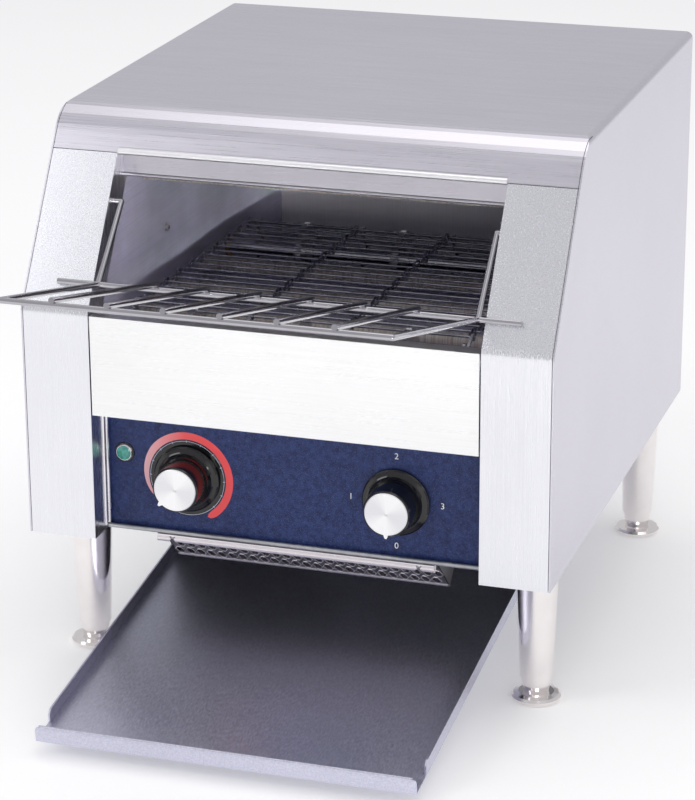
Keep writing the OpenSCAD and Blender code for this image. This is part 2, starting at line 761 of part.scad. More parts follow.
// Side wall of the tray, rounded at its front end
module tray_side() across(tray_w / 2 - tray_t, tray_t) difference() {
    translate([tray_open, 0]) square([tray_l - tray_open, tray_wall]);
    translate([tray_open, tray_wall - 5]) difference() {
        square([5, 6]);
        translate([5, 0]) circle(5);
    }
}

module tray() color(steel) placed() in_tray() {
    translate([-tray_w / 2, 0, 0]) cube([tray_w, tray_l, tray_t]);
    both_sides() tray_side();
    deep(0, tray_t) {
        translate([-tray_w / 2, 0]) square([tray_w, tray_lip - 3]);
        translate([-tray_w / 2 + 3, 0]) square([tray_w - 6, tray_lip]);
        for (s = [-1, 1]) translate([s * (tray_w / 2 - 3), tray_lip - 3]) circle(3);
    }
    x_rod(-tray_w / 2 + 3, tray_w / 2 - 3, tray_t / 2, tray_lip, 1.3);
    deep(tray_l - tray_t, tray_t) translate([-tray_w / 2, 0]) square([tray_w, tray_wall]);
}

// Runner: a channel round the tray's edge, hung from the base plate by its web
module runner() {
    x = tray_w / 2 + 0.5;
    in_tray() {
        translate([x - 7, runner_y0, -tray_t - rest_gap]) cube([7, runner_y1 - runner_y0, tray_t]);
        translate([x - 5, runner_y0, tray_wall + 0.5]) cube([5, runner_y1 - runner_y0, tray_t]);
    }
    intersection() {
        in_tray() translate([x, runner_y0, -tray_t - rest_gap]) cube([tray_t, runner_y1 - runner_y0, 90]);
        translate([0, 0, -50]) cube([half, body_d, under_z + 50]);
    }
    // Flange under the base plate
    y0 = (runner_y0 + 20) * cos(tray_slope) - tray_reach;
    y1 = (runner_y1 - 4) * cos(tray_slope) - tray_reach;
    translate([x, y0, under_z - tray_t]) cube([12, y1 - y0, tray_t]);
}

module left_runner() color(steel) placed() mirror([1, 0, 0]) runner();
module right_runner() color(steel) placed() runner();

// ---- mesh guard ----

mesh_cols = 25;
mesh_rows = 3;
guard_t = 1;
guard_flange = 6;

// Eyes of the expanded metal: slanted, in staggered rows
module mesh_eyes(w, h) {
    px = w / (mesh_cols + 0.5);
    pz = (h - 3) / mesh_rows;
    linear_extrude(6 * guard_t, center = true)
        for (j = [0:mesh_rows - 1], i = [0:mesh_cols - 1])
            translate([-w / 2 + px * (i + 0.5 + (j % 2) / 2), 1.5 + pz * (j + 0.5)])
                polygon([[-px * 0.42, -pz * 0.1], [-px * 0.1, -pz * 0.43], [px * 0.2, -pz * 0.38],
                    [px * 0.42, pz * 0.1], [px * 0.1, pz * 0.43], [-px * 0.2, pz * 0.38]]);
}

// The mesh hangs as a V below the front edge of the base plate, with a triangle at each end
module mesh_guard() color(bright) placed() {
    t = guard_t;
    w = guard_w;
    top = under_z - t;
    low = under_z - guard_h;
    y0 = guard_y + guard_flange;
    ym = y0 + guard_half_d;
    y1 = ym + guard_half_d;
    slope = atan2(top - low, guard_half_d);
    side = norm([top - low, guard_half_d]);
    drop = t / cos(slope);
    inner_d = (top + t - low - drop) / tan(slope);
    mid_d = (top + t / 2 - low - drop / 2) / tan(slope);
    difference() {
        across(-w / 2, w) polygon([[guard_y - 2.2, top], [y0, top], [ym, low], [y1, top], [y1 + guard_flange, top],
            [y1 + guard_flange, top + t], [ym + inner_d, top + t], [ym, low + drop], [ym - inner_d, top + t],
            [guard_y - 2.2, top + t]]);
        translate([0, y0, top]) rotate([-slope, 0, 0]) mesh_eyes(w, side);
        translate([0, ym, low]) rotate([slope, 0, 0]) mesh_eyes(w, side);
    }
    for (x = [-w / 2, w / 2 - t]) across(x, t)
        polygon([[ym - mid_d, top + t / 2], [ym, low + drop / 2], [ym + mid_d, top + t / 2]]);
    // Rolled lip at the front, cut away round the screws, and the rounded fold
    difference() {
        x_rod(-w / 2, w / 2, guard_y, top - 2, 2.6);
        for (p = guard_screw_at) translate([p[0], p[1], top - 6]) cylinder(h = 6, r = guard_screw_r + 0.8);
    }
    x_rod(-w / 2, w / 2, ym, low + 0.6, 1.5);
}

// ---- legs ----

function leg_places() = [for (y = [leg_y, leg_y + leg_span], x = [-leg_x, leg_x]) [x, y]];

// Tapered tube with a closed top, a stud through the base plate and a nut on it
module leg(k) color(bright) placed() translate([leg_places()[k][0], leg_places()[k][1], 0]) {
    top_r = leg_d / 2;
    low_r = foot_stem_r + 1.3;
    bore = foot_stem_r + 0.08;
    rotate_extrude() polygon([[bore, leg_out_z], [low_r, leg_out_z], [top_r, under_z], [0, under_z],
        [0, under_z - 3], [top_r - 1.8, under_z - 3], [bore + 0.8, 52], [bore, 50]]);
    translate([0, 0, under_z]) cylinder(h = base_t + 8, r = 4);
    translate([0, 0, base_top]) cylinder(h = 6, r = 7.5, $fn = 6);
}

// Screw-in foot: a stem in the leg, a short taper and a round disc
module foot(k) color(bright) placed() translate([leg_places()[k][0], leg_places()[k][1], 0]) {
    r = foot_d / 2;
    rotate_extrude() polygon([[0, 0], [r - 1, 0], [r, 1], [r, 3], [r - 1.6, 4.6], [r - 5, foot_disc_t],
        [foot_stem_r - 1.7, foot_disc_t], [foot_stem_r, 14], [foot_stem_r, 46], [foot_stem_r - 1, 47], [0, 47]]);
}

module leg_front_left() leg(0);
module leg_front_right() leg(1);
module leg_rear_left() leg(2);
module leg_rear_right() leg(3);
module foot_front_left() foot(0);
module foot_front_right() foot(1);
module foot_rear_left() foot(2);
module foot_rear_right() foot(3);

// ---- fasteners and fittings ----

// Pan head screw with its +Z out of the surface
module screw_head(r) rotate_extrude($fn = 32)
    polygon([[0, 0], [r, 0], [r, r * 0.35], [r * 0.7, r * 0.65], [0, r * 0.75]]);

module guard_screws() color(bright) placed()
    for (p = guard_screw_at) translate([p[0], p[1], under_z - guard_t]) rotate([180, 0, 0])
        screw_head(guard_screw_r);

module rear_screws() color(bright) placed()
    for (p = rear_screw_at) translate([p[0], body_d, p[1]]) rotate([-90, 0, 0]) screw_head(3.5);

wall_screw_at = [[150, 283], [330, 300], [320, 150]];
module wall_screws() color(bright) placed() both_sides()
    for (p = wall_screw_at) translate([wall_in, p[0], p[1]]) rotate([0, -90, 0]) screw_head(3);

module terminal_block() color([0.9, 0.9, 0.85]) placed() translate([24 - slot_x, 215, base_top]) {
    difference() {
        cube([66, 22, 20]);
        for (i = [0:4]) translate([5 + i * 12, -1, 10]) cube([8, 24, 11]);
    }
    for (i = [0:4]) translate([9 + i * 12, 11, 10]) cylinder(h = 5, r = 2.6);
}

// Strain-relief gland for the supply cord, with its nut inside the rear panel
module cable_gland() color(black) placed()
    translate([gland_at[0], body_d, gland_at[1]]) rotate([-90, 0, 0]) difference() {
        union() {
            rotate_extrude() polygon([[0, 0], [12, 0], [12, 3], [9.5, 4], [9, gland_out - 1], [8, gland_out], [0, gland_out]]);
            translate([0, 0, -sheet]) cylinder(h = sheet, r = gland_r);
            translate([0, 0, -sheet - 4]) cylinder(h = 4, r = 11, $fn = 6);
        }
        translate([0, 0, -sheet - 5]) cylinder(h = gland_out + sheet + 6, r = 4.5);
    }

outer_cover();
rear_panel();
base_plate();
left_pillar();
right_pillar();
front_panel();
control_panel();
visor();
left_wall();
right_wall();
chamber_floor();
rear_chute();
upper_reflector();
lower_reflector();
upper_heaters();
lower_heaters();
heater_caps();
lamp_bezel();
lamp_lens();
speed_control();
speed_shaft();
speed_knob();
speed_knob_cap();
selector_switch();
selector_shaft();
selector_knob();
selector_knob_cap();
conveyor_belt();
drive_shaft();
drive_sprockets();
chain_wheel();
idler_shaft();
idler_sprockets();
shaft_bushings();
gear_motor();
motor_shaft();
motor_sprocket();
drive_chain();
fan_frame();
fan_rotor();
fan_guard();
feed_rack();
mesh_guard();
tray();
left_runner();
right_runner();
leg_front_left();
leg_front_right();
leg_rear_left();
leg_rear_right();
foot_front_left();
foot_front_right();
foot_rear_left();
foot_rear_right();
guard_screws();
rear_screws();
wall_screws();
terminal_block();
cable_gland();
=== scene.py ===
import math

import bmesh
import bpy
from mathutils import Matrix, Vector


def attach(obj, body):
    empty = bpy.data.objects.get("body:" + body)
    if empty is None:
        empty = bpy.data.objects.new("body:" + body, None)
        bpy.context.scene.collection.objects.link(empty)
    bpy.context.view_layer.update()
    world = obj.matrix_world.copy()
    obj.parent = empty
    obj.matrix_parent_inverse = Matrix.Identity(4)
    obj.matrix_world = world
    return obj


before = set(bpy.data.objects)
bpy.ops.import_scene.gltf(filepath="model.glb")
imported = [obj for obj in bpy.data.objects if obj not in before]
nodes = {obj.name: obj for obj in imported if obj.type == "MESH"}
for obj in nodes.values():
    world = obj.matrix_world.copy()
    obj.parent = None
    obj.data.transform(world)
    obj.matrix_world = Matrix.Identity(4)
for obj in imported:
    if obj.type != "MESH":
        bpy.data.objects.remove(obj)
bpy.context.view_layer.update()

# Places that the pieces share, in metres, in the row frame: PANEL_Y is the front of the control panel, WALL_IN and
# SLOT_X the inner faces of the walls and of the pillars' returns, CHUTE_Y the front of the rear panel, and HEM_Z and
# HEM_Y hold the bead of the brow
Y_SHIFT = -0.134
PANEL_Y = 0.0276 + Y_SHIFT
DIAL_Z = 0.144
SPEED_X = -0.078
SELECTOR_X = 0.071
BODY_BACK = 0.418 + Y_SHIFT
WALL_IN = 0.1369
UNDER_Z = 0.103
SLOT_X = 0.1357
CHUTE_Y = 0.400 + Y_SHIFT
HEM_Z = (0.3580, 0.3630)
HEM_Y = -0.0700
HEM_HALF = 0.1352
MESH_HALF = 0.0977
LIP_BACK_Y = -0.1068


# ---- materials ----

class Mat:
    """A node material with short helpers for the nodes used here."""

    def __init__(self, name):
        self.m = bpy.data.materials.new(name)
        self.m.use_nodes = True
        self.nt = self.m.node_tree
        self.nt.nodes.clear()
        self.out = self.nt.nodes.new("ShaderNodeOutputMaterial")
        self.b = self.nt.nodes.new("ShaderNodeBsdfPrincipled")
        self.nt.links.new(self.b.outputs[0], self.out.inputs[0])
        self.co = self.nt.nodes.new("ShaderNodeTexCoord").outputs["Object"]

    def set(self, **values):
        for key, v in values.items():
            self.b.inputs[key.replace("_", " ").title().replace("Ior", "IOR")].default_value = v
        return self

    def link(self, a, b):
        self.nt.links.new(a, b)

    def mapping(self, scale, source=None, rotation=(0, 0, 0)):
        n = self.nt.nodes.new("ShaderNodeMapping")
        n.inputs["Scale"].default_value = scale
        n.inputs["Rotation"].default_value = rotation
        self.link(source or self.co, n.inputs["Vector"])
        return n.outputs[0]

    def noise(self, scale, detail=2.0, rough=0.5, vector=None):
        n = self.nt.nodes.new("ShaderNodeTexNoise")
        n.inputs["Scale"].default_value = scale
        n.inputs["Detail"].default_value = detail
        n.inputs["Roughness"].default_value = rough
        self.link(vector or self.co, n.inputs["Vector"])
        return n.outputs["Fac"]

    def ramp(self, fac, *stops, interpolation="LINEAR"):
        n = self.nt.nodes.new("ShaderNodeValToRGB")
        n.color_ramp.interpolation = interpolation
        e = n.color_ramp.elements
        while len(e) < len(stops):
            e.new(0.5)
        for item, (pos, colour) in zip(e, stops):
            item.position = pos
            item.color = (*colour, 1) if len(colour) == 3 else colour
        self.link(fac, n.inputs[0])
        return n.outputs[0]

    def to_range(self, fac, lo, hi, from_lo=0.3, from_hi=0.7):
        n = self.nt.nodes.new("ShaderNodeMapRange")
        for key, v in (("From Min", from_lo), ("From Max", from_hi), ("To Min", lo), ("To Max", hi)):
            n.inputs[key].default_value = v
        self.link(fac, n.inputs["Value"])
        return n.outputs[0]

    def mix(self, fac, a, b, mode="MIX"):
        n = self.nt.nodes.new("ShaderNodeMix")
        n.data_type = "RGBA"
        n.blend_type = mode
        for socket, v in ((n.inputs[0], fac), (n.inputs[6], a), (n.inputs[7], b)):
            if isinstance(v, (int, float)):
                socket.default_value = v
            elif isinstance(v, tuple):
                socket.default_value = (*v, 1)
            else:
                self.link(v, socket)
        return n.outputs[2]

    def bump(self, height, strength, distance):
        n = self.nt.nodes.new("ShaderNodeBump")
        n.inputs["Strength"].default_value = strength
        n.inputs["Distance"].default_value = distance
        self.link(height, n.inputs["Height"])
        self.link(n.outputs[0], self.b.inputs["Normal"])
        return self

    def math(self, operation, a, b=0.0):
        n = self.nt.nodes.new("ShaderNodeMath")
        n.operation = operation
        for socket, v in zip(n.inputs, (a, b)):
            if isinstance(v, (int, float)):
                socket.default_value = v
            else:
                self.link(v, socket)
        return n.outputs[0]

    def split(self, source=None):
        n = self.nt.nodes.new("ShaderNodeSeparateXYZ")
        self.link(source or self.co, n.inputs[0])
        return n.outputs

    def colour(self, source):
        self.link(source, self.b.inputs["Base Color"])
        return self

    def rough(self, source):
        self.link(source, self.b.inputs["Roughness"])
        return self


def tone(c, k):
    return tuple(min(1.0, v * k) for v in c[:3])


def brushed(name, base, rough=0.3, grain=(14, 1500, 1500), contrast=0.05, cloud=0.03, metallic=1.0, marked=None):
    """Brushed sheet: fine streaks along one axis, and faint clouds. marked(mat, colour) adds what is local: painted
    highlight and painted shade.
    """
    m = Mat(name).set(metallic=metallic)
    streak = m.noise(1.0, 3.0, 0.6, m.mapping(grain))
    clouds = m.noise(9.0, 3.0, 0.6)
    fine = m.ramp(streak, (0.3, tone(base, 1 - contrast)), (0.7, tone(base, 1 + contrast)))
    shade = m.ramp(clouds, (0.35, (1 - cloud,) * 3), (0.65, (1.0,) * 3))
    colour = m.mix(1.0, fine, shade, "MULTIPLY")
    m.colour(marked(m, colour) if marked else colour)
    m.rough(m.to_range(streak, rough * 0.85, rough * 1.2))
    return m.bump(streak, 0.12, 0.00002).m


def hem_painted_highlight_and_shade(m, source):
    """The base colour, with a painted highlight along the bead of the brow and painted shade in the crease above it."""
    at = m.split()
    front = m.to_range(at["Y"], 1.0, 0.0, HEM_Y - 0.0005, HEM_Y)
    inner = m.to_range(m.math("ABSOLUTE", at["X"]), 1.0, 0.0, HEM_HALF, HEM_HALF + 0.0004)

    def strip(z0, z1, z2, z3):
        """1 between the heights z1 and z2 of the brow, and 0 below z0 and above z3."""
        low = m.to_range(at["Z"], 0.0, 1.0, z0, z1)
        high = m.to_range(at["Z"], 1.0, 0.0, z2, z3)
        return m.math("MULTIPLY", m.math("MULTIPLY", low, high), m.math("MULTIPLY", front, inner))

    # Painted highlight on the bead, and painted shade in the crease above it.
    painted_bead_highlight = strip(HEM_Z[0], HEM_Z[0] + 0.0006, HEM_Z[1] - 0.0006, HEM_Z[1])
    painted_crease_shade = strip(HEM_Z[1] - 0.0001, HEM_Z[1] + 0.0002, HEM_Z[1] + 0.0010, HEM_Z[1] + 0.0014)
    return m.mix(painted_crease_shade, m.mix(painted_bead_highlight, source, (0.96, 0.95, 0.97)), (0.16, 0.15, 0.18))


def guard_painted_shade_and_lip(m, source):
    """The base colour, darker on the guard's two end triangles as painted shade, and bright on its rolled lip."""
    at = m.split()
    # outer is the mask of the painted shade on the end triangles.
    outer = m.to_range(m.math("ABSOLUTE", at["X"]), 0.0, 1.0, MESH_HALF, MESH_HALF + 0.0003)
    lip = m.to_range(at["Y"], 1.0, 0.0, LIP_BACK_Y, LIP_BACK_Y + 0.0004)
    return m.mix(lip, m.mix(outer, source, tone(MESH, 0.4)), (0.86, 0.81, 0.83))


def polished(name, base, rough=0.12):
    """Polished metal with faint waves and smears."""
    m = Mat(name).set(metallic=1.0)
    smear = m.noise(60.0, 4.0, 0.6)
    wave = m.noise(25.0, 1.0)
    m.colour(m.ramp(smear, (0.3, tone(base, 0.93)), (0.7, base)))
    m.rough(m.to_range(smear, rough * 0.7, rough * 1.5))
    return m.bump(wave, 0.08, 0.0004).m


def plastic(name, base, rough, coat=0.0, grain=0.0):
    m = Mat(name).set(coat_weight=coat, coat_roughness=0.05, specular_ior_level=0.5)
    dust = m.noise(220.0, 3.0, 0.6)
    m.colour(m.ramp(dust, (0.35, tone(base, 0.85)), (0.75, tone(base, 1.25))))
    m.rough(m.to_range(m.noise(40.0, 3.0), rough * 0.8, rough * 1.3))
    return m.bump(m.noise(900.0, 2.0), grain, 0.0001).m if grain else m.m


COVER = (0.70, 0.68, 0.75)
FRONT = (0.84, 0.84, 0.885)
# The guard's sheet colour is darkened as painted shade, for the dark seen through its open eyes.
MESH = (0.40, 0.38, 0.42)
M = {}
# The cover's brow bead gets a painted highlight, and the crease above it painted shade.
M["cover"] = brushed("brushed_cover", COVER, 0.30, (14, 1500, 1500), 0.06, marked=hem_painted_highlight_and_shade)
M["front"] = brushed("brushed_front", FRONT, 0.26, (1400, 1400, 14), 0.04)
M["panel"] = brushed("brushed_panel", (0.93, 0.93, 0.93), 0.30, (14, 1400, 1400), 0.03)
M["inner"] = brushed("inner_steel", (0.70, 0.68, 0.86), 0.36, (1200, 14, 1200), 0.10, 0.35, metallic=0.25)
M["chute"] = brushed("chute_steel", (0.95, 0.94, 1.0), 0.36, (1200, 1200, 14), 0.05, 0.06, metallic=0.0)
M["visor"] = brushed("visor_steel", (0.50, 0.48, 0.53), 0.24, (14, 1300, 1300), 0.05)
M["galv"] = brushed("galvanised", (0.50, 0.51, 0.53), 0.42, (160, 160, 160), 0.10, 0.15)
M["tray"] = brushed("tray_steel", (0.66, 0.66, 0.78), 0.36, (900, 260, 900), 0.12, 0.05)
M["mesh"] = brushed("mesh_steel_painted_shade", MESH, 0.34, (300, 300, 300), 0.12, 0.1, marked=guard_painted_shade_and_lip)
M["chrome"] = polished("chrome_wire", (0.50, 0.49, 0.52), 0.07)
M["leg"] = polished("polished_leg", (0.92, 0.88, 0.87), 0.16)
M["trim"] = polished("trim_steel", (0.92, 0.90, 0.93), 0.2)
M["strand"] = polished("mesh_strand", (0.92, 0.88, 0.90), 0.3)
M["zinc"] = polished("zinc_plated", (0.66, 0.66, 0.68), 0.28)
M["bronze"] = polished("sintered_bronze", (0.60, 0.40, 0.20), 0.35)
M["shaft"] = brushed("ground_shaft", (0.62, 0.62, 0.65), 0.2, (900, 30, 30), 0.05)
# Also used for the dark inlays of painted shade in the screw recesses.
M["oiled"] = brushed("oiled_steel_and_recess_shade", (0.10, 0.10, 0.11), 0.42, (400, 400, 400), 0.2, 0.2)
M["knob"] = plastic("glossy_black", (0.003, 0.003, 0.004), 0.11, coat=0.25)
M["black"] = plastic("matt_black", (0.016, 0.016, 0.018), 0.5, grain=0.15)
M["cream"] = plastic("cream_plastic", (0.72, 0.68, 0.56), 0.45, grain=0.1)
M["white_ink"] = plastic("white_print", (0.80, 0.80, 0.80), 0.5)
M["pale_ink"] = plastic("pale_blue_print", (0.52, 0.56, 0.70), 0.5)


def belt_material():
    m = Mat("heat_darkened_wire").set(metallic=1.0)
    n = m.noise(70.0, 4.0, 0.65)
    m.colour(m.ramp(n, (0.3, (0.16, 0.16, 0.20)), (0.55, (0.34, 0.34, 0.40)), (0.75, (0.46, 0.43, 0.44))))
    m.rough(m.to_range(n, 0.34, 0.2))
    return m.bump(m.noise(700.0, 2.0), 0.2, 0.0001).m


def navy_material():
    """Dark blue film with pale speckles."""
    m = Mat("navy_film").set(coat_weight=0.05, coat_roughness=0.3, specular_ior_level=0.3)
    base = m.ramp(m.noise(260.0, 3.0, 0.6), (0.3, (0.008, 0.016, 0.072)), (0.7, (0.024, 0.043, 0.155)))
    speck = m.ramp(m.noise(2400.0, 1.0), (0.60, (0, 0, 0)), (0.76, (0.09, 0.11, 0.20)))
    m.colour(m.mix(1.0, base, speck, "ADD"))
    m.rough(m.to_range(m.noise(120.0, 3.0), 0.34, 0.5))
    return m.bump(m.noise(1400.0, 1.0), 0.15, 0.00005).m


def quartz_material():
    m = Mat("satin_quartz").set(transmission_weight=0.35, ior=1.46, subsurface_weight=0.0)
    coil = m.noise(1.0, 1.0, 0.5, m.mapping((700, 30, 30)))
    m.colour(m.ramp(coil, (0.4, (0.80, 0.74, 0.70)), (0.65, (0.52, 0.42, 0.38))))
    m.rough(m.to_range(coil, 0.3, 0.5))
    return m.m


def ceramic_material():
    m = Mat("glazed_ceramic").set(coat_weight=0.4, coat_roughness=0.1)
    m.colour(m.ramp(m.noise(90.0, 3.0), (0.3, (0.70, 0.68, 0.62)), (0.7, (0.82, 0.80, 0.75))))
    m.rough(m.to_range(m.noise(50.0, 2.0), 0.25, 0.4))
    return m.m


def lens_material():
    m = Mat("green_lens").set(coat_weight=0.6, coat_roughness=0.05, emission_color=(0.0, 0.35, 0.12, 1),
                              emission_strength=0.12, ior=1.49)
    m.colour(m.ramp(m.noise(350.0, 2.0), (0.35, (0.03, 0.22, 0.20)), (0.7, (0.09, 0.42, 0.40))))
    m.rough(m.to_range(m.noise(200.0, 2.0), 0.12, 0.3))
    return m.m


def spun_material(name, x):
    """Metal turned on its face, with painted reflection: brightness changes round the middle at (x, DIAL_Z) as a broad
    two-lobed sheen and fine radial streaks.
    """
    m = Mat(name).set(metallic=1.0)
    place = m.nt.nodes.new("ShaderNodeMapping")
    place.inputs["Location"].default_value = (-x, 0, -DIAL_Z)
    m.link(m.co, place.inputs["Vector"])
    at = m.split(place.outputs[0])
    angle = m.math("ARCTAN2", at["Z"], at["X"])
    wave = m.math("SINE", m.math("ADD", m.math("MULTIPLY", angle, 2.0), -0.9))
    combine = m.nt.nodes.new("ShaderNodeCombineXYZ")
    m.link(angle, combine.inputs[0])
    fine = m.noise(14.0, 4.0, 0.7, combine.outputs[0])
    # Painted reflection: a two-lobed sheen and radial streaks in the cap's colour.
    painted_sheen = m.ramp(m.to_range(wave, 0.0, 1.0, -1, 1), (0.1, (0.84, 0.84, 0.86)), (0.9, (1.0, 1.0, 1.0)))
    painted_streaks = m.ramp(fine, (0.3, (0.78, 0.78, 0.80)), (0.7, (1, 1, 1)))
    m.colour(m.mix(0.5, painted_sheen, painted_streaks, "MULTIPLY"))
    m.rough(m.to_range(fine, 0.25, 0.4))
    return m.m


def arc_material():
    """Print that runs from pale pink at the left to red at the right."""
    m = Mat("red_print")
    across = m.to_range(m.split()["X"], 0.0, 1.0, SPEED_X - 0.031, SPEED_X + 0.018)
    m.colour(m.ramp(across, (0.0, (0.86, 0.50, 0.54)), (0.3, (0.88, 0.31, 0.33)), (0.6, (0.90, 0.11, 0.11)),
                    (1.0, (0.90, 0.09, 0.095))))
    m.rough(m.to_range(m.noise(300.0, 2.0), 0.4, 0.55))
    return m.m


M["belt"] = belt_material()
M["navy"] = navy_material()
M["quartz"] = quartz_material()
M["ceramic"] = ceramic_material()
M["lens"] = lens_material()
M["speed_cap"] = spun_material("spun_cap_left", SPEED_X)
M["selector_cap"] = spun_material("spun_cap_right", SELECTOR_X)
M["red"] = arc_material()

FINISH = {
    "cover": ["outer_cover", "rear_panel"],
    "front": ["left_pillar", "right_pillar"],
    "mesh": ["mesh_guard"],
    "panel": ["front_panel"],
    "visor": ["visor"],
    "navy": ["control_panel"],
    "inner": ["left_wall", "right_wall", "upper_reflector", "lower_reflector"],
    "chute": ["rear_chute"],
    "galv": ["base_plate", "chamber_floor", "left_runner", "right_runner"],
    "tray": ["tray"],
    "quartz": ["upper_heaters", "lower_heaters"],
    "ceramic": ["heater_caps"],
    "lens": ["lamp_lens"],
    "knob": ["speed_knob", "selector_knob"],
    "speed_cap": ["speed_knob_cap"],
    "selector_cap": ["selector_knob_cap"],
    "belt": ["conveyor_belt"],
    "shaft": ["drive_shaft", "idler_shaft", "motor_shaft", "speed_shaft", "selector_shaft"],
    "zinc": ["drive_sprockets", "idler_sprockets", "guard_screws", "rear_screws", "wall_screws"],
    "oiled": ["chain_wheel", "motor_sprocket", "drive_chain", "gear_motor"],
    "bronze": ["shaft_bushings"],
    "chrome": ["feed_rack", "fan_guard"],
    "trim": ["lamp_bezel"],
    "leg": ["leg_front_left", "leg_front_right", "leg_rear_left", "leg_rear_right",
            "foot_front_left", "foot_front_right", "foot_rear_left", "foot_rear_right"],
    "black": ["speed_control", "selector_switch", "fan_frame", "fan_rotor", "cable_gland"],
    "cream": ["terminal_block"],
}
for finish, members in FINISH.items():
    for n in members:
        nodes[n].data.materials.clear()
        nodes[n].data.materials.append(M[finish])


# ---- pieces ----

def piece(name, verts, faces, material, body, slot):
    """A new object with its own mesh and material, which rides on a body; the argument slot is not used."""
    me = bpy.data.meshes.new(name)
    me.from_pydata([Vector(v) for v in verts], [], faces)
    me.update()
    bm = bmesh.new()
    bm.from_mesh(me)
    bmesh.ops.recalc_face_normals(bm, faces=bm.faces)
    bm.to_mesh(me)
    bm.free()
    me.materials.append(material)
    o = bpy.data.objects.new(name, me)
    bpy.context.scene.collection.objects.link(o)
    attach(o, body)
    return o


def join(parts):
    """One list of vertices and faces from several (verts, faces) pairs."""
    verts, faces = [], []
    for v, f in parts:
        n = len(verts)
        verts += v
        faces += [tuple(i + n for i in face) for face in f]
    return verts, faces


def prism(front, back):
    """Closed solid between two outlines with the same number of points."""
    n = len(front)
    sides = [(i, (i + 1) % n, n + (i + 1) % n, n + i) for i in range(n)]
    return list(front) + list(back), [tuple(range(n)), tuple(range(2 * n - 1, n - 1, -1))] + sides


def on_dial(x, r, angle, h):
    """A point on a dial: radius and height from the panel in mm, angle in degrees from the right."""
    a = math.radians(angle)
    return Vector((x + r * 0.001 * math.cos(a), PANEL_Y - h * 0.001, DIAL_Z + r * 0.001 * math.sin(a)))


def band(x, r0, r1, a0, a1, h, thick, steps):
    """A printed band from angle a0 to a1 at the height h, between two radii that may change along it."""
    top, low = [], []
    for i in range(steps + 1):
        t = i / steps
        a = a0 + (a1 - a0) * t
        ri, ro = r0(t), r1(t)
        top.append((on_dial(x, ri, a, h + thick), on_dial(x, ro, a, h + thick)))
        low.append((on_dial(x, ri, a, h), on_dial(x, ro, a, h)))
    outline = lambda rows: [p[1] for p in rows] + [p[0] for p in reversed(rows)]
    verts = outline(top) + outline(low)
    m = len(verts) // 2
    faces = []
    for i in range(steps):
        faces.append((i, i + 1, m - 2 - i, m - 1 - i))
        faces.append((m + i, m + m - 1 - i, m + m - 2 - i, m + i + 1))
    for i in range(m):
        faces.append((i, m + i, m + (i + 1) % m, (i + 1) % m))
    return verts, faces


SCALE_R = 27.6
SCALE_TOP = 0.35


def disc(x, z, outline, name, material, slot, n=96, ring=False):
    """A round plate or ring on the control panel, turned from (radius, height) points in mm."""
    verts, faces = [], []
    for r, h in outline:
        for i in range(n):
            a = 2 * math.pi * i / n
            verts.append((x + r * 0.001 * math.cos(a), PANEL_Y - h * 0.001, z + r * 0.001 * math.sin(a)))
    rows = len(outline)
    for k in range(rows if ring else rows - 1):
        for i in range(n):
            j = (i + 1) % n
            l = (k + 1) % rows
            faces.append((k * n + i, k * n + j, l * n + j, l * n + i))
    if not ring:
        faces.append(tuple(range(n)))
        faces.append(tuple(range((rows - 1) * n, rows * n)))
    return piece(name, verts, faces, material, "cabinet", slot)


# Black scale plate under the speed dial, with a thin ring and a tick every 22.5 degrees
disc(SPEED_X, DIAL_Z, [(SCALE_R, 0), (SCALE_R, 0.25), (SCALE_R - 0.2, SCALE_TOP)], "speed_scale", M["knob"],
     "knob_black")
disc(SPEED_X, DIAL_Z, [(26.9, SCALE_TOP), (26.9, 0.39), (26.55, 0.39), (26.55, SCALE_TOP)], "speed_scale_ring",
     M["pale_ink"], "cap_spun", 120, True)
marks = []
for k in range(13):
    a = 225 - 22.5 * k
    marks.append(band(SPEED_X, lambda t: 25.9, lambda t: 27.35, a - 0.6, a + 0.6, SCALE_TOP, 0.05, 2))
piece("speed_scale_marks", *join(marks), M["pale_ink"], "cabinet", "cap_spun")

# Red arc printed round the scale: it grows from a point at its left end to a round right end
ARC_IN = 27.9
ARC_WIDE = 5.2


def arc_edge(t, side):
    grown = ARC_WIDE / 2 * min(1.0, 0.02 + (t / 0.28) ** 0.5)
    tail = max(0.0, (t - 0.955) / 0.045)
    return ARC_IN + grown + side * grown * math.sqrt(max(0.0004, 1 - tail * tail))


piece("speed_arc", *band(SPEED_X, lambda t: arc_edge(t, -1), lambda t: arc_edge(t, 1), 213, -62, 0.02, 0.08, 110),
      M["red"], "cabinet", "panel_navy")


def number(text, x, z, height):
    """A plain number printed on the panel, centred at (x, z)."""
    c = bpy.data.curves.new("digit", "FONT")
    c.body = text
    c.size = height / 0.72
    c.align_x = "CENTER"
    c.align_y = "CENTER"
    c.extrude = 0.00004
    o = bpy.data.objects.new("digit", c)
    bpy.context.scene.collection.objects.link(o)
    o.rotation_euler = (math.pi / 2, 0, 0)
    o.location = (x, PANEL_Y - 0.00006, z)
    bpy.context.view_layer.update()
    me = bpy.data.meshes.new_from_object(o.evaluated_get(bpy.context.evaluated_depsgraph_get()))
    verts = [o.matrix_world @ v.co for v in me.vertices]
    faces = [tuple(p.vertices) for p in me.polygons]
    bpy.data.objects.remove(o)
    return verts, faces


LABEL_R = 0.032
LABEL_H = 0.0044
digits = [number("0", SELECTOR_X, DIAL_Z - LABEL_R, LABEL_H), number("1", SELECTOR_X - LABEL_R, DIAL_Z, LABEL_H),
          number("2", SELECTOR_X, DIAL_Z + LABEL_R, LABEL_H), number("3", SELECTOR_X + LABEL_R, DIAL_Z, LABEL_H)]
piece("selector_numbers", *join(digits), M["white_ink"], "cabinet", "cap_spun")


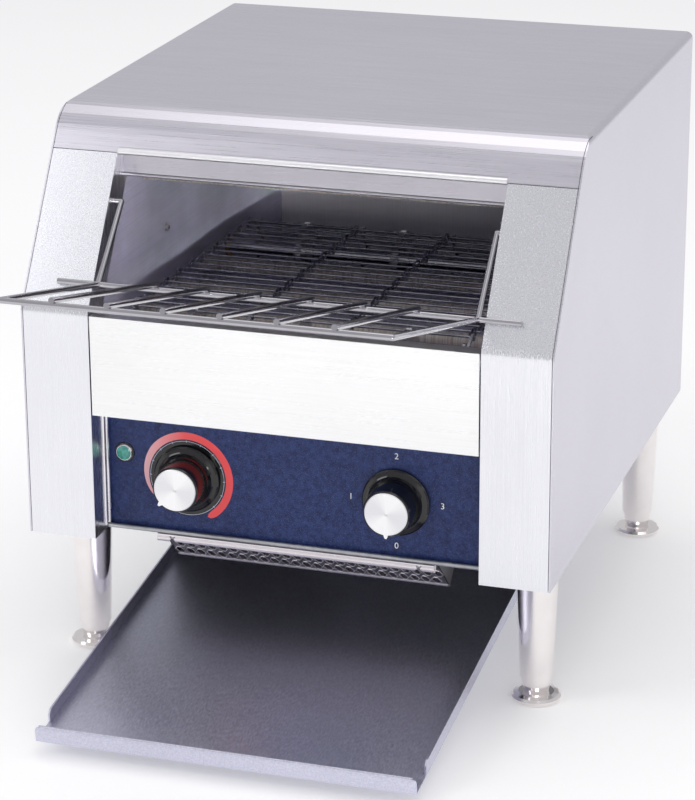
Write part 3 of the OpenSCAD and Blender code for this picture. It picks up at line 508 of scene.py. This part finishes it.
def recess(centre, normal, across, size):
    """Cross recess of a screw: two crossed bars sunk to the head's face, as a dark inlay that paints the shade in the
    recess.
    """
    n = Vector(normal).normalized()
    u = Vector(across).normalized()
    v = n.cross(u)
    parts = []
    for a, b in ((u, v), (v, u)):
        corners = [a * size + b * size * 0.22, a * -size + b * size * 0.22,
                   a * -size - b * size * 0.22, a * size - b * size * 0.22]
        parts.append(prism([centre + c + n * 0.00008 for c in corners], [centre + c - n * 0.0003 for c in corners]))
    return join(parts)


def recesses(name, places, normal, across, size):
    """The recesses of several screws that face the same way, as dark inlays of painted shade."""
    # The dark material here is painted shade in the recesses.
    piece(name, *join([recess(Vector(p), normal, across, size) for p in places]), M["oiled"], "cabinet", "zinc")


rear = [(x, BODY_BACK + 0.002625, z) for x in (-0.172, 0.172) for z in (0.118, 0.240, 0.362)]
recesses("rear_screw_recesses", rear, (0, 1, 0), (1, 0, 0.3), 0.0017)
guard = [(x, 0.0246 + Y_SHIFT, UNDER_Z - 0.001 - 0.00195) for x in (-0.088, 0.088)]
recesses("guard_screw_recesses", guard, (0, 0, -1), (1, 0.4, 0), 0.0012)
for side, name in ((1, "right"), (-1, "left")):
    heads = ((0.150, 0.283), (0.330, 0.300), (0.320, 0.150))
    wall = [(side * (WALL_IN - 0.00225), y + Y_SHIFT, z) for y, z in heads]
    recesses(f"{name}_wall_screw_recesses", wall, (-side, 0, 0), (0, 1, 0.5), 0.0014)


# Pilot lamp: a black ring round the bezel, and the lens's low dome
LAMP_X, LAMP_Z = -0.1235, 0.158
disc(LAMP_X, LAMP_Z, [(7.3, 0), (7.3, 0.3), (6.9, 0.7), (6.05, 0.7), (6.05, 0)], "lamp_black_ring", M["knob"],
     "knob_black", 48, True)
disc(LAMP_X, LAMP_Z, [(5.1, 1.9), (5.1, 2.1), (4.4, 2.55), (3.2, 2.95), (1.7, 3.2), (0.4, 3.25)],
     "lamp_dome", M["lens"], "lamp_green", 48)


def bead(name, x, y, r, z0, z1, side, material, slot):
    """A vertical half-round bead that stands on an upright face with its back at x, towards the middle."""
    n = 10
    ring = []
    for i in range(n + 1):
        a = math.pi * i / n - math.pi / 2
        ring.append((x - side * r * math.cos(a), y + r * math.sin(a)))
    piece(name, *prism([(px, py, z0) for px, py in ring], [(px, py, z1) for px, py in ring]), material, "cabinet", slot)


# Folded edges where each pillar's return meets the control panel
for side, name in ((1, "right"), (-1, "left")):
    for y, r, part in ((0.0194, 0.0013, "front"), (0.0250, 0.0019, "rear")):
        bead(f"{name}_return_bead_{part}", side * (SLOT_X - 0.0001), y + Y_SHIFT, r, 0.1066, 0.1925, side, M["trim"],
             "stainless_front")


# Folded seam where each wall meets the rear panel
for side, name in ((1, "right"), (-1, "left")):
    bead(f"{name}_corner_seam", side * WALL_IN, CHUTE_Y - 0.0028, 0.0016, 0.262, 0.338, side, M["trim"],
         "inner_steel")


def strand_tube(a, b, r, normal):
    """A short strand from a to b with a rounded section, for the raised edge of a mesh eye."""
    d = (b - a).normalized()
    u = normal.normalized()
    v = d.cross(u)
    n = 6
    ends = []
    for p in (a, b):
        turn = [2 * math.pi * i / n for i in range(n)]
        ends.append([tuple(p + (u * math.cos(t) + v * math.sin(t)) * r) for t in turn])
    return prism(*ends)


# The mesh guard's folded sheet, as in the part's source
GUARD_Y = 0.024 + 0.006 + Y_SHIFT
GUARD_TOP = UNDER_Z - 0.001
GUARD_HALF_D = 0.031
GUARD_DROP = 0.029
GUARD_W = 0.198
EYE_COLS, EYE_ROWS = 25, 3
EYE = ((-0.42, -0.1), (-0.1, -0.43), (0.2, -0.38), (0.42, 0.1), (0.1, 0.43), (-0.2, 0.38))
STRAND_R = 0.00042


def mesh_strands(name, y0, z0, slope, out):
    """Raised strands round the eyes of one slope of the guard."""
    px = GUARD_W / (EYE_COLS + 0.5)
    pz = (math.hypot(GUARD_DROP, GUARD_HALF_D) - 0.003) / EYE_ROWS
    parts = []
    for j in range(EYE_ROWS):
        for i in range(EYE_COLS):
            cx, cv = -GUARD_W / 2 + px * (i + 0.5 + (j % 2) / 2), 0.0015 + pz * (j + 0.5)
            ring = []
            for ex, ez in EYE:
                v = cv + ez * pz
                ring.append(Vector((cx + ex * px, y0 + v * math.cos(slope), z0 + v * math.sin(slope))))
            for a, b in zip(ring, ring[1:] + ring[:1]):
                parts.append(strand_tube(a, b, STRAND_R, out))
    piece(name, *join(parts), M["strand"], "cabinet", "stainless_front")


pitch = math.atan2(GUARD_DROP, GUARD_HALF_D)
mesh_strands("guard_front_strands", GUARD_Y, GUARD_TOP, -pitch, Vector((0, -math.sin(pitch), -math.cos(pitch))))
mesh_strands("guard_rear_strands", GUARD_Y + GUARD_HALF_D, GUARD_TOP - GUARD_DROP, pitch,
             Vector((0, math.sin(pitch), -math.cos(pitch))))


# ---- camera, floor and light ----

def make_camera():
    """Camera from the photograph: azimuth, elevation, roll in degrees, and the lens on the frame's long side."""
    azimuth, elevation, roll = (math.radians(v) for v in (17.87, 19.59, -0.31))
    forward = Vector((-math.sin(azimuth) * math.cos(elevation), math.cos(azimuth) * math.cos(elevation),
                      -math.sin(elevation)))
    right = Vector((math.cos(azimuth), math.sin(azimuth), 0))
    up = right.cross(forward)
    r = right * math.cos(roll) + up * math.sin(roll)
    u = up * math.cos(roll) - right * math.sin(roll)
    data = bpy.data.cameras.new("camera")
    data.sensor_width = 36
    data.lens = 2942 / 800 * 36
    data.clip_start, data.clip_end = 0.05, 60
    cam = bpy.data.objects.new("camera", data)
    bpy.context.scene.collection.objects.link(cam)
    turn = Matrix((r, u, -forward)).transposed().to_4x4()
    cam.matrix_world = Matrix.Translation((0.6008, -1.8552, 0.8663)) @ turn
    bpy.context.scene.camera = cam


def softbox(name, place, aim, size, watts, colour=(1, 1, 1), spread=180):
    """A rectangular lamp at a place, turned to what it lights; spread is its beam in degrees."""
    data = bpy.data.lights.new(name, "AREA")
    data.shape = "RECTANGLE"
    data.size, data.size_y = size
    data.energy = watts
    data.color = colour
    data.spread = math.radians(spread)
    o = bpy.data.objects.new(name, data)
    bpy.context.scene.collection.objects.link(o)
    o.location = place
    o.rotation_mode = "QUATERNION"
    o.rotation_quaternion = (Vector(aim) - Vector(place)).to_track_quat("-Z", "Y")


def make_world():
    w = bpy.data.worlds.new("studio")
    bpy.context.scene.world = w
    w.use_nodes = True
    bg = w.node_tree.nodes["Background"]
    bg.inputs[0].default_value = (0.97, 0.97, 1.0, 1)
    bg.inputs[1].default_value = 0.62


def make_floor():
    """A pale floor that keeps the shadow, and looks white to the camera and in what mirrors it."""
    s = 7
    me = bpy.data.meshes.new("floor")
    me.from_pydata([(-s, -s, -0.0003), (s, -s, -0.0003), (s, s, -0.0003), (-s, s, -0.0003)], [], [(0, 1, 2, 3)])
    m = Mat("floor_white").set(specular_ior_level=0.0)
    m.colour(m.ramp(m.noise(2.0, 2.0), (0.3, (0.90, 0.90, 0.90)), (0.7, (0.92, 0.92, 0.92))))
    m.b.inputs["Roughness"].default_value = 0.9
    path = m.nt.nodes.new("ShaderNodeLightPath").outputs
    mirrored = m.math("MAXIMUM", path["Is Glossy Ray"], path["Is Transmission Ray"])
    seen = m.math("MAXIMUM", path["Is Camera Ray"], mirrored)
    m.b.inputs["Emission Color"].default_value = (1, 1, 1, 1)
    m.link(m.math("MULTIPLY", seen, 0.22), m.b.inputs["Emission Strength"])
    me.materials.append(m.m)
    o = bpy.data.objects.new("floor", me)
    bpy.context.scene.collection.objects.link(o)


make_camera()
make_world()
make_floor()
softbox("front_left_box", (-2.0, -1.5, 1.8), (0, 0, 0.25), (1.1, 1.4), 13)
softbox("overhead_box", (0.2, 0.35, 2.4), (0, 0.1, 0.2), (2.6, 1.6), 13.5, (1.0, 0.98, 0.95))
softbox("front_right_box", (1.1, -2.6, 0.62), (0, 0.1, 0.3), (1.3, 0.7), 15, (1.0, 0.98, 0.96))
softbox("chamber_fill", (1.0, -2.1, 0.42), (-0.03, 0.05, 0.305), (0.30, 0.08), 0.2, spread=7)
bpy.context.scene.view_settings.view_transform = "Standard"
